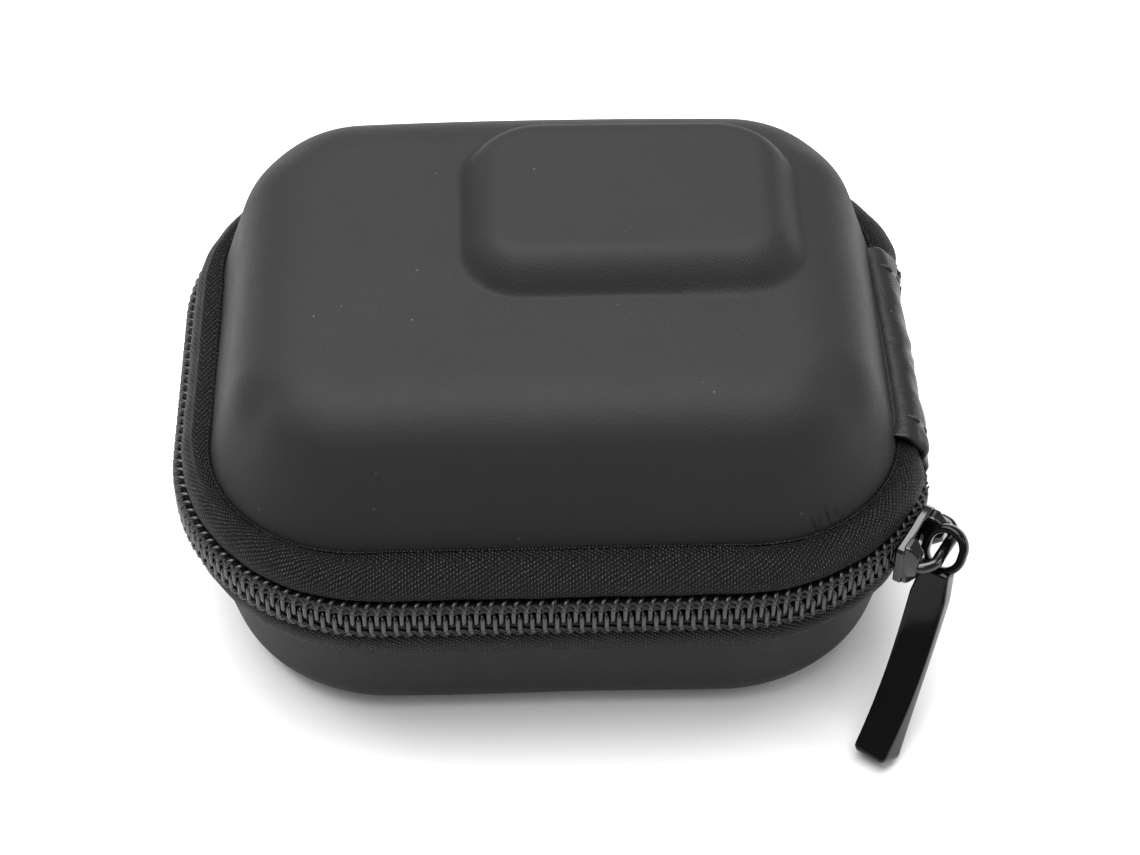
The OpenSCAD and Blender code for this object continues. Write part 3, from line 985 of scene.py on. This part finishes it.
@dataclass
class Rim:
    """The binding round one half's rim, and the row of stitches through it."""

    wall: Wall
    palette: Palette
    prefix: str

    @property
    def depth(self) -> float:
        """Depth of the wall's inner face, with its gaps."""
        return S.skin + S.foam + S.lining + 3 * GAP

    def outline(self) -> Array:
        """Returns: the binding's L-shaped section, with rounded corners."""
        w, rim, face = self.wall, self.wall.rim_z, self.depth
        path = smooth_path(
            [
                (w.face(rim, 0.55), rim - 0.3),
                (w.face(rim, 2.4), rim - 0.32),
                (w.face(rim, face), rim - 0.2),
                (w.face(rim + 0.6, face + 0.25), rim + 0.5),
                (w.face(rim + 2, face + 0.25), rim + 2),
                (w.face(rim + 3.5, face + 0.25), rim + 3.5),
            ],
            16,
        )
        outline = ribbon(path, 0.46)
        return np.column_stack([outline[:, 0] - w.step, S.zip_z + w.side.value * outline[:, 1]])

    def build(self) -> None:
        """Makes the binding and its seam."""
        track = Track(self.wall.step)
        s = stations(0, track.total, 1.2)[:-1]
        strip = sweep(track, s, self.outline(), True)
        binding = strip.build(f"{self.prefix}_binding", self.palette.binding)
        settle(binding, self.prefix, "binding", f"{self.prefix}_rim_binding")
        height = self.wall.rim_z + 2.1
        out = self.wall.face(height, self.depth + 0.62) - self.wall.step
        stitches = []
        for start in np.arange(0, track.total - 2, 3.2):
            along = np.linspace(start, start + 2.5, 6)
            dip = np.array([0.3, 0.0, -0.04, -0.04, 0.0, 0.3])
            path = track.point(along, out + dip, S.zip_z + self.wall.side.value * height)
            stitches.append(tube(path, THREAD, UP, 6))
        seam = MeshData.joined(stitches).build(f"{self.prefix}_binding_stitches", self.palette.thread)
        settle(seam, self.prefix, "thread", f"{self.prefix}_rim_seam")


# ---------------------------------------------------------------- zip


@dataclass
class ZipSide:
    """One half's side of the zip: tape, coil, cord, stitching and end stops."""

    wall: Wall
    palette: Palette
    prefix: str

    @property
    def sign(self) -> int:
        """Direction away from the zip's middle line."""
        return self.wall.side.value

    def tape_path(self) -> Array:
        """Returns: the tape's middle line from the wall's foot to behind the coil."""
        edge = S.radius
        if self.wall.side is Side.LID:
            points = [
                (self.wall.face(6.7) - 0.6, 6.5), (self.wall.face(6.7) + 0.4, 6.72), (edge - 3.5, 6.8),
                (edge - 2.3, 6.5), (edge - 1.4, 5.75), (edge - 0.92, 4.85), (edge - 0.8, 4.05),
                (edge - 1.0, 3.45), (edge - 1.7, 3.12), (edge - 2.5, 2.9), (edge - 2.9, 2.3),
                (edge - 2.9, 0.5),
            ]  # fmt: skip
        else:
            points = [
                (self.wall.face(7.8) - 0.6, 7.75), (self.wall.face(7.8) + 0.35, 7.6), (edge - 2.2, 7.0),
                (edge - 1.7, 6.1), (edge - 1.4, 5.2), (edge - 1.3, 4.3), (edge - 1.5, 3.6),
                (edge - 2.1, 3.2), (edge - 2.7, 2.8), (edge - 2.9, 1.8), (edge - 2.9, 0.5),
            ]  # fmt: skip
        return smooth_path(points, 40)

    def corner_reach(self, away: Array) -> Array:
        """How much farther out the wall stands than the zip, in its tighter corners.

        Args:
            away: outward directions at the stations.

        Returns:
            The distance at each station.
        """
        return (math.sqrt(2) - 1) * self.wall.step * np.abs(away[:, 0] * away[:, 1]) * 2

    def tape_shift(self, s: Array, outline: Array) -> Array:
        """Outward push of the tape: a slow wave, and the wall's tighter corners at its foot.

        Args:
            s: the stations.
            outline: the outline's points.

        Returns:
            The push for each station and point.
        """
        depth = S.radius - outline[:, 0]
        near_wall = np.clip((depth - 3.0) / 2.0, 0, 1)[None, :]
        foot = self.corner_reach(TRACK.place(s)[1])[:, None] * near_wall
        wave = 0.07 * np.sin(s * 0.43 + 1.0) + 0.05 * np.sin(s * 1.13)
        on_bulge = bell(depth - 1.3, 0.9)[None, :]
        to_end = np.minimum(s - ZIP_START, ZIP_END - s)
        near_end = bell(np.maximum(to_end + 0.6, 0), 2.4)[:, None]
        tuck = near_end * np.clip((2.6 - depth) / 1.6, 0, 1)[None, :]
        opposite = bell(s - 0.5 * TRACK.total, 31.0, 4)[:, None]
        far_side = opposite * np.clip((2.9 - depth) / 1.2, 0, 1)[None, :]
        slack = 0.85 if self.wall.side is Side.LID else 0.2
        return foot + wave[:, None] * on_bulge - 1.15 * tuck - slack * far_side

    def tape(self) -> Piece:
        """Returns: the woven tape."""
        outline = ribbon(self.tape_path(), 0.58)
        outline = np.column_stack([outline[:, 0], S.zip_z + self.sign * outline[:, 1]])
        s = stations(ZIP_START - 1.0, ZIP_END + 1.0, 0.7)
        tape = sweep(TRACK, s, outline, False, self.tape_shift)
        parts = MeshData.joined([tape, *self.selvedge()])
        return parts.build(f"{self.prefix}_woven_tape", self.palette.tape)

    def selvedge(self) -> list[MeshData]:
        """Returns: the row of slanting stitches along the tape's edge at the wall's foot."""
        if self.wall.side is Side.LID:
            out, height = self.wall.face(7.0) + 0.26, 7.02
        else:
            out, height = self.wall.face(7.8) + 0.3, 7.86
        stitches = []
        for start in np.arange(ZIP_START + 0.4, ZIP_END - 1.2, 0.8):
            along = np.linspace(start, start + 0.95, 5)
            reach = self.corner_reach(TRACK.place(along)[1])
            arch = np.array([-0.16, 0.04, 0.1, 0.04, -0.16])
            rise = np.linspace(-0.13, 0.13, 5)
            path = TRACK.point(along, out + reach + arch, S.zip_z + self.sign * (height + rise))
            stitches.append(tube(path, THREAD, UP, 6))
        return stitches

    def coil(self) -> Piece:
        """Returns: the coil, turn after turn, with heads that reach between the other side's."""
        front, back = S.radius - 0.36, S.radius - S.coil_depth + 0.36
        middle = (front + back) / 2
        turn = [
            (0.0, front, -0.2), (0.0, front + 0.03, 0.7), (0.02, front, 1.6), (0.12, front - 0.22, 2.25),
            (0.32, middle + 0.25, 2.46), (0.46, middle - 0.4, 2.36), (0.52, back, 1.9), (0.53, back, 0.7),
            (0.56, back + 0.1, -0.15), (0.75, middle, -0.58), (0.94, front - 0.25, -0.5),
        ]  # fmt: skip
        turns = int((ZIP_END - ZIP_START - 2 * COIL_GAP) / S.pitch)
        keys = [(k + t, out, z) for k in range(turns) for t, out, z in turn]
        path = smooth_path(keys, turns * 26)
        s = ZIP_START + COIL_GAP + (turns - path[:, 0] + self.wall.side.phase) * S.pitch
        points = TRACK.point(s, path[:, 1], S.zip_z + self.sign * path[:, 2])
        _, away = TRACK.place(s)
        reference = np.column_stack([away[:, 1], -away[:, 0], np.zeros(len(s))])
        return tube(points, 0.31, reference, 8).build(f"{self.prefix}_coil_turns", self.palette.coil)

    def cord(self) -> Piece:
        """Returns: the cord that fills the coil."""
        s = stations(ZIP_START + COIL_GAP, ZIP_END - COIL_GAP, 1.0)
        out = np.full(len(s), S.radius - S.coil_depth / 2)
        points = TRACK.point(s, out, S.zip_z + self.sign * 1.3)
        return tube(points, 0.55, UP, 12).build(f"{self.prefix}_coil_filler", self.palette.cord)

    def stitching(self) -> Piece:
        """Returns: the two rows of thread over the coil, which dip between its turns."""
        s = stations(ZIP_START + 1.5, ZIP_END - 1.5, S.pitch / 8)
        phase = 2 * math.pi * ((s - ZIP_START - COIL_GAP) / S.pitch - self.wall.side.phase)
        rows = ((1.55, 24.86, 0.13, 0.12, 0.1), (2.12, 24.74, 0.17, 0.15, 0.18))
        parts = []
        for height, out, radius, swing, lift in rows:
            z = S.zip_z + self.sign * (height + swing * np.sin(phase))
            parts.append(tube(TRACK.point(s, out + lift * (np.cos(phase) - 1), z), radius, UP, 6))
        return MeshData.joined(parts).build(f"{self.prefix}_coil_thread", self.palette.thread)

    def stops(self) -> Piece:
        """Returns: the crimped blocks at the coil's two ends."""
        a = np.linspace(0, 2 * math.pi, 24, endpoint=False)
        r = 0.95 / (np.abs(np.cos(a)) ** 4 + np.abs(np.sin(a)) ** 4) ** 0.25
        up = S.zip_z + self.sign * 1.5
        outline = np.column_stack([S.radius - 1.5 + r * np.cos(a), up + r * np.sin(a)])
        middles = (ZIP_START + 0.55, ZIP_END - 0.55)
        parts = [sweep(TRACK, np.linspace(m - 0.42, m + 0.42, 5), outline, False) for m in middles]
        return MeshData.joined(parts).build(f"{self.prefix}_stops", self.palette.stop)

    def build(self) -> None:
        """Makes the side's pieces; each half of the zip is sewn to its own shell and rides with it."""
        p = self.prefix
        pieces = [
            (self.tape(), "zip_tape", f"{p}_tape"),
            (self.coil(), "zip_coil", f"{p}_coil"),
            (self.cord(), "thread", f"{p}_coil_cord"),
            (self.stitching(), "thread", f"{p}_coil_stitching"),
            (self.stops(), "end_stop", f"{p}_end_stops"),
        ]
        for obj, slot, node in pieces:
            settle(obj, p, slot, node)


# ---------------------------------------------------------------- spine


@dataclass
class Spine:
    """The coated strip that hinges the lid, its lining and the thread at its gathered ends."""

    palette: Palette

    def place(self, y: Array, v: Array) -> Array:
        """Points on the cover's outer face.

        Args:
            y: places along the spine.
            v: shares from the lid's foot, 0, to the base's foot, 1.

        Returns:
            (x, y, z) rows in millimetres.
        """
        span = (y + S.spine_front) / (S.spine_front + S.spine_back)
        path = smooth_path(
            [(39.4, 8.0), (40.6, 8.6), (42.2, 8.2), (43.4, 6.6), (43.85, 4.0), (43.9, 0.0), (43.8, -4.0),
             (43.5, -7.0), (42.6, -9.2), (41.3, -10.2)],
            60,
        )  # fmt: skip
        at = v * (len(path) - 1)
        x = np.interp(at, np.arange(len(path)), path[:, 0])
        z = np.interp(at, np.arange(len(path)), path[:, 1])
        past = np.maximum(np.abs(y) - S.half_y, 0)
        x = x - (S.radius - np.sqrt(np.maximum(S.radius**2 - past**2, 0)))
        x = x - 0.8 * span**2
        edge = np.minimum(span, 1 - span) * (S.spine_front + S.spine_back)
        middle = np.sin(np.pi * np.clip(v, 0, 1))
        x += middle * (0.5 * bell(edge, 2.6) - 0.35 * bell(edge - 3.6, 0.9))
        gathers = np.sin(z * 2.1 + 1.0 + 0.5 * np.sin(y)) * bell(edge, 3.0)
        slack = 0.16 * np.sin(y * 0.5 + z * 0.35) + 0.1 * np.sin(y * 1.15 - z * 0.8 + 0.6)
        crease = -0.3 * bell(y - 3.0 + 0.7 * z, 0.9) - 0.24 * bell(y + 7.5 - 0.45 * z, 0.8)
        x += middle * (0.26 * gathers + slack + crease)
        y = y - np.sign(y) * 1.1 * bell(edge, 2.2) * np.abs(2 * v - 1) ** 6
        return np.column_stack([x, y, S.zip_z + z])

    def cover(self) -> Piece:
        """Returns: the cover, as a closed sheet."""
        ys = np.linspace(-S.spine_front, S.spine_back, 150)
        vs = np.linspace(0, 1, 64)
        yy, vv = np.meshgrid(ys, vs, indexing="ij")
        outer = self.place(yy.ravel(), vv.ravel())
        edge = np.minimum(yy + S.spine_front, S.spine_back - yy).ravel()
        outer[:, 0] -= np.clip(1 - edge / 0.6, 0, 1) ** 2 * 0.25
        inner = outer - np.array([0.55, 0, 0])
        inner[:, 2] -= np.sign(inner[:, 2] - S.zip_z) * 0.25 * (np.abs(inner[:, 2] - S.zip_z) > 6)
        rows, columns = len(ys), len(vs)
        faces = grid_faces(rows, columns, False, False)
        past = rows * columns
        faces += [tuple(i + past for i in face) for face in faces]
        border = (
            [(0, c) for c in range(columns)]
            + [(r, columns - 1) for r in range(1, rows)]
            + [(rows - 1, c) for c in range(columns - 2, -1, -1)]
            + [(r, 0) for r in range(rows - 2, 0, -1)]
        )
        ring = [r * columns + c for r, c in border]
        faces += [(a, b, b + past, a + past) for a, b in zip(ring, ring[1:] + ring[:1])]
        uv = np.column_stack([yy.ravel(), vv.ravel() * 22])
        sheet = MeshData(np.concatenate([outer, inner]), faces, np.concatenate([uv, uv]))
        return sheet.build("spine_cloth", self.palette.spine)

    def seams(self) -> Piece:
        """Returns: the thread across both ends, in stitches."""
        parts = []
        for y in (-S.spine_front + 3.5, S.spine_back - 3.7):
            for start in np.linspace(0.1, 0.86, 7):
                v = np.linspace(start, start + 0.075, 6)
                path = self.place(y + 0.15 * np.sin(v * 30), v)
                path[:, 0] += np.array([-0.2, 0.12, 0.2, 0.2, 0.12, -0.2])
                parts.append(tube(path, THREAD, ALONG_Y, 6))
        return MeshData.joined(parts).build("spine_thread", self.palette.thread)

    def lining(self) -> Piece:
        """Returns: the strip inside the spine."""
        edge = S.radius
        path = smooth_path(
            [(17.9, 3.9), (edge - 4.2, 4.0), (edge - 2.7, 3.0), (edge - 2.3, 0.0), (edge - 2.7, -3.6),
             (edge - 4.2, -4.9), (17.9, -5.0)],
            24,
        )  # fmt: skip
        outline = ribbon(path, 0.5)
        ys = np.linspace(-S.half_y, S.half_y, 40)
        verts = np.array([[S.half_x + o, y, S.zip_z + z] for y in ys for o, z in outline])
        faces = grid_faces(len(ys), len(outline), False, True) + end_caps(len(ys), len(outline))
        return MeshData(verts, faces, verts[:, 1:]).build("spine_inner_strip", self.palette.lining)

    def build(self) -> None:
        """Makes the spine's pieces, which lie between the base and the lid."""
        for obj, slot, node in (
            (self.cover(), "spine_cover", "spine_cover"),
            (self.lining(), "lining", "spine_lining"),
            (self.seams(), "thread", "spine_stitching"),
        ):
            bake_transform(obj)
            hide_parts(node)
            LOG.info("%s: %d faces, base to lid", obj.name, len(obj.data.polygons))


# ---------------------------------------------------------------- slider and pull


def slider_frame() -> Matrix:
    """The slider's own frame: X out of the case, Y towards the spine, Z up, in metres."""
    spot = Vector((S.half_x * MM, -S.half_y * MM, S.zip_z * MM))
    return Matrix.Translation(spot) @ Matrix.Rotation(math.radians(-S.slider_angle), 4, "Z")


def prism(outline: Sequence[tuple[float, float]], low: float, high: float) -> MeshData:
    """A flat piece with an outline of (y, z) points between two distances along X.

    Args:
        outline: the outline.
        low: nearer distance.
        high: farther distance.

    Returns:
        The mesh.
    """
    count = len(outline)
    verts = np.array([(x, y, z) for x in (low, high) for y, z in outline])
    return MeshData(verts, grid_faces(2, count, False, True) + end_caps(2, count), verts[:, 1:])


def signed_power(value: Array, power: float) -> Array:
    """A power of a value's size, with the value's own sign; it squares off a circle's sines and cosines."""
    return np.sign(value) * np.abs(value) ** power


def soften(obj: Piece, width: float, segments: int = 3) -> Piece:
    """Rounds a piece's sharp edges.

    Args:
        obj: the piece.
        width: the rounding, in millimetres.
        segments: steps in each rounding.

    Returns:
        The piece.
    """
    bevel = obj.modifiers.new("rounded_edges", "BEVEL")
    bevel.width = width * MM
    bevel.segments = segments
    bevel.limit_method = "ANGLE"
    bevel.angle_limit = math.radians(SHARP_EDGE)
    bevel.harden_normals = True
    return obj


@dataclass
class Slider:
    """The slider's body and its bail."""

    palette: Palette

    def plate(self) -> list[tuple[float, float]]:
        """Returns: a plate's outline, wide at the nose and narrower at the tail."""
        nose = [(3.95, 1.1), (3.3, 2.5), (2.4, 3.15), (0.2, 3.25)]
        upper = [*nose, (-1.2, 2.95), (-4.8, 2.85), (-5.25, 2.4)]
        return upper + [(y, -z) for y, z in reversed(upper)]

    def post(self, start: float, end: float, half: float, rise: float) -> MeshData:
        """A post that holds one foot of the bail: a block with wide cut corners.

        Args:
            start: its end nearer the tail.
            end: its end nearer the nose.
            half: half its height across the zip.
            rise: how far it stands out from the plate.

        Returns:
            The mesh.
        """
        low, middle = S.radius + 0.9, (start + end) / 2
        rings = ((low, 1.0, 1.0), (low + 0.2 + rise * 0.35, 1.0, 1.0), (low + 0.2 + rise, 0.6, 0.52))
        above = [(1, 0.45), (0.6, 1), (-0.6, 1), (-1, 0.45)]
        corners = above + [(y, -z) for y, z in reversed(above)]
        verts = np.array(
            [
                (x, middle + (end - start) / 2 * cy * wide, half * cz * tall)
                for x, wide, tall in rings
                for cy, cz in corners
            ]
        )
        size = len(rings), len(corners)
        return MeshData(verts, grid_faces(*size, False, True) + end_caps(*size), verts[:, 1:])

    def body(self) -> Piece:
        """Returns: both plates, the web between them and the posts that carry the bail."""
        inside, tail = 21.8, 5.25  # radius of the zip's inner face, and the plate's longer half
        back = math.sqrt(inside**2 - tail**2) - 0.15
        web = [(3.7, 0.28), (0.6, 0.28), (0.2, 0.0), (0.6, -0.28), (3.7, -0.28)]
        pieces = [
            prism(self.plate(), S.radius + 0.18, S.radius + 1.2),
            prism(self.plate(), back - 0.95, back),
            prism(web, back - 0.4, S.radius + 0.6),
            self.post(1.15, 3.8, 2.3, 2.1),
            self.post(-5.2, -1.9, 3.0, 1.75),
        ]
        obj = MeshData.joined(pieces).build("slider_casting", self.palette.slider)
        obj.data.polygons.foreach_set("use_smooth", np.ones(len(obj.data.polygons), dtype=bool))
        return soften(obj, 0.22)

    def bail(self) -> Piece:
        """Returns: the arch that the pull hangs on."""
        start, reach = S.radius + 1.1, 3.1
        rise = [(0.0, 4.0), (1.2, 4.05), (2.2, 3.7), (reach - 0.05, 2.4), (reach, 1.0)]
        points = [(start + x, -y, 0) for x, y in rise] + [(start + x, y, 0) for x, y in reversed(rise)]
        path = smooth_path(points, 60)
        return tube(path, 0.7, UP, 20, 1.06).build("slider_loop", self.palette.slider)

    def build(self) -> None:
        """Makes the slider's pieces."""
        for obj, node in ((self.body(), "slider_body"), (self.bail(), "slider_bail")):
            obj.matrix_world = slider_frame()
            settle(obj, "slider", "slider_enamel", node)


@dataclass
class Pull:
    """The curved pull: an eye round the bail and a waisted grip that swells to its tip."""

    palette: Palette
    length: float = 26.8
    lean: float = 31.67
    twist: float = 14.0
    eye_x: float = 29.2

    def grip(self) -> MeshData:
        """Returns: the grip, as rounded sections from the eye to the tip."""
        steps, around = 60, 56
        a = np.linspace(0, 2 * math.pi, around, endpoint=False)
        verts, uvs = [], []
        for t in np.linspace(0, 1, steps):
            width = 1.75 + 0.5 * min(1.0, t * 7)
            ends = (1 - t) * 1.35 + t * 1.9
            half = ends - (ends - 0.8) * math.sin(math.pi * t**0.9)
            bow = 0.75 * math.sin(math.pi * t**0.95)
            z = -2.5 - (self.length - 2.5) * t
            tip = 1 - 0.14 * max(0.0, (t - 0.975) / 0.025) ** 2
            x = signed_power(np.cos(a), 0.2) * width * tip
            y = signed_power(np.sin(a), 0.2) * half * tip + bow
            twist = -math.radians(self.twist) * t
            turned_x = x * math.cos(twist) - y * math.sin(twist)
            turned_y = x * math.sin(twist) + y * math.cos(twist)
            level = np.full(around, z)
            verts.append(np.column_stack([turned_x, turned_y, level]))
            uvs.append(np.column_stack([a * 2, level]))
        faces = grid_faces(steps, around, False, True) + end_caps(steps, around)
        return MeshData(np.concatenate(verts), faces, np.concatenate(uvs))

    def eye(self) -> MeshData:
        """Returns: the closed eye, taller than it is wide."""
        steps, sides, hole, rim = 72, 16, 1.72, 1.03
        mid = hole + rim / 2
        a = np.linspace(0, 2 * math.pi, steps, endpoint=False)
        around = np.linspace(0, 2 * math.pi, sides, endpoint=False)
        out = np.column_stack([np.cos(a), np.zeros(steps), np.sin(a)])
        path = mid * out + np.outer(0.35 * np.sign(np.sin(a)), UP)
        wide = signed_power(np.sin(around), 0.7) * 0.85
        deep = signed_power(np.cos(around), 0.7) * rim / 2
        grid = path[:, None, :] + out[:, None, :] * deep[None, :, None] + ALONG_Y * wide[None, :, None]
        verts = grid.reshape(-1, 3)
        return MeshData(verts, grid_faces(steps, sides, True, True), verts[:, :2])

    def build(self) -> None:
        """Makes the pull and hangs it on the bail, leaning until its tip clears the surface."""
        obj = MeshData.joined([self.grip(), self.eye()]).build("pull_casting", self.palette.pull)
        lean = Matrix.Rotation(math.radians(-self.lean), 4, "X")
        hang = Matrix.Translation((self.eye_x * MM, 0, 0)) @ lean
        obj.matrix_world = slider_frame() @ hang
        settle(obj, "pull", "pull_enamel", "pull_tab")


# ---------------------------------------------------------------- studio


@dataclass
class Studio:
    """Pale floor, soft lights and the camera."""

    distance: float = 339.52
    elevation: float = 46.43
    azimuth: float = -1.603
    roll: float = 0.008
    shift_right: float = 2.291
    shift_up: float = -5.370
    lens: float = 88.13
    aim_z: float = 24.8
    floor_grey: float = 0.57
    room_light: float = 0.4
    lamps: tuple[tuple[str, tuple[float, float, float], float, float], ...] = (
        ("overhead", (-0.08, 0.12, 0.85), 1.0, 29.0),
        ("left", (-0.65, 0.16, 0.45), 0.4, 1.4),
        ("right", (0.65, -0.1, 0.35), 0.3, 1.2),
        ("front", (0.0, -0.5, 0.75), 0.5, 2.6),
    )

    def floor(self) -> None:
        """Makes the pale floor."""
        bpy.ops.mesh.primitive_plane_add(size=6.0, location=(0, 0, -0.00004))
        plane = bpy.context.object
        plane.name = "floor"
        sh = Shader("pale_floor")
        sh.set(Base_Color=(*[self.floor_grey] * 3, 1), Roughness=0.9, Specular_IOR_Level=0.1)
        plane.data.materials.append(sh.material)

    def light(self, name: str, place: Sequence[float], size: float, power: float) -> None:
        """Adds one soft light that looks at the case.

        Args:
            name: the light's name.
            place: where it is, in metres.
            size: its side, in metres.
            power: its power, in watts.
        """
        data = bpy.data.lights.new(name, "AREA")
        data.size = size
        data.energy = power
        obj = bpy.data.objects.new(name, data)
        obj.location = place
        obj.rotation_mode = "QUATERNION"
        obj.rotation_quaternion = (Vector((0, 0, 0.02)) - Vector(place)).to_track_quat("-Z", "Y")
        bpy.context.scene.collection.objects.link(obj)

    def camera(self) -> None:
        """Makes the camera."""
        el, az, roll = (math.radians(a) for a in (self.elevation, self.azimuth, self.roll))
        back = Vector((math.sin(az) * math.cos(el), -math.cos(az) * math.cos(el), math.sin(el)))
        right = (-back).cross(Vector((0, 0, 1))).normalized()
        up = right.cross(-back)
        aim = right * self.shift_right + up * self.shift_up + Vector((0, 0, self.aim_z))
        place = back * self.distance + aim
        turned_right = right * math.cos(roll) + up * math.sin(roll)
        turned_up = up * math.cos(roll) - right * math.sin(roll)
        data = bpy.data.cameras.new("camera")
        data.sensor_width = 36.0
        data.lens = self.lens
        data.clip_start, data.clip_end = 0.01, 20.0
        obj = bpy.data.objects.new("camera", data)
        turn = Matrix((turned_right, turned_up, back)).transposed().to_4x4()
        obj.matrix_world = Matrix.Translation(place * MM) @ turn
        bpy.context.scene.collection.objects.link(obj)
        bpy.context.scene.camera = obj

    def build(self) -> None:
        """Makes the studio."""
        self.floor()
        for lamp in self.lamps:
            self.light(*lamp)
        world = bpy.data.worlds.new("soft_room")
        world.use_nodes = True
        background = world.node_tree.nodes["Background"]
        background.inputs[0].default_value = (1, 1, 1, 1)
        background.inputs[1].default_value = self.room_light
        bpy.context.scene.world = world
        bpy.context.scene.view_settings.view_transform = "Standard"
        self.camera()


def main() -> None:
    """Builds the case and the studio."""
    logging.basicConfig(level=logging.INFO, format="%(message)s", stream=sys.stdout)
    palette = Palette()
    for wall, prefix in ((BASE_WALL, "base"), (LID_WALL, "lid")):
        ShellHalf(wall, palette, prefix).build()
        Rim(wall, palette, prefix).build()
        ZipSide(wall, palette, prefix).build()
    Spine(palette).build()
    Slider(palette).build()
    Pull(palette).build()
    Studio().build()


if __name__ == "__main__":
    main()
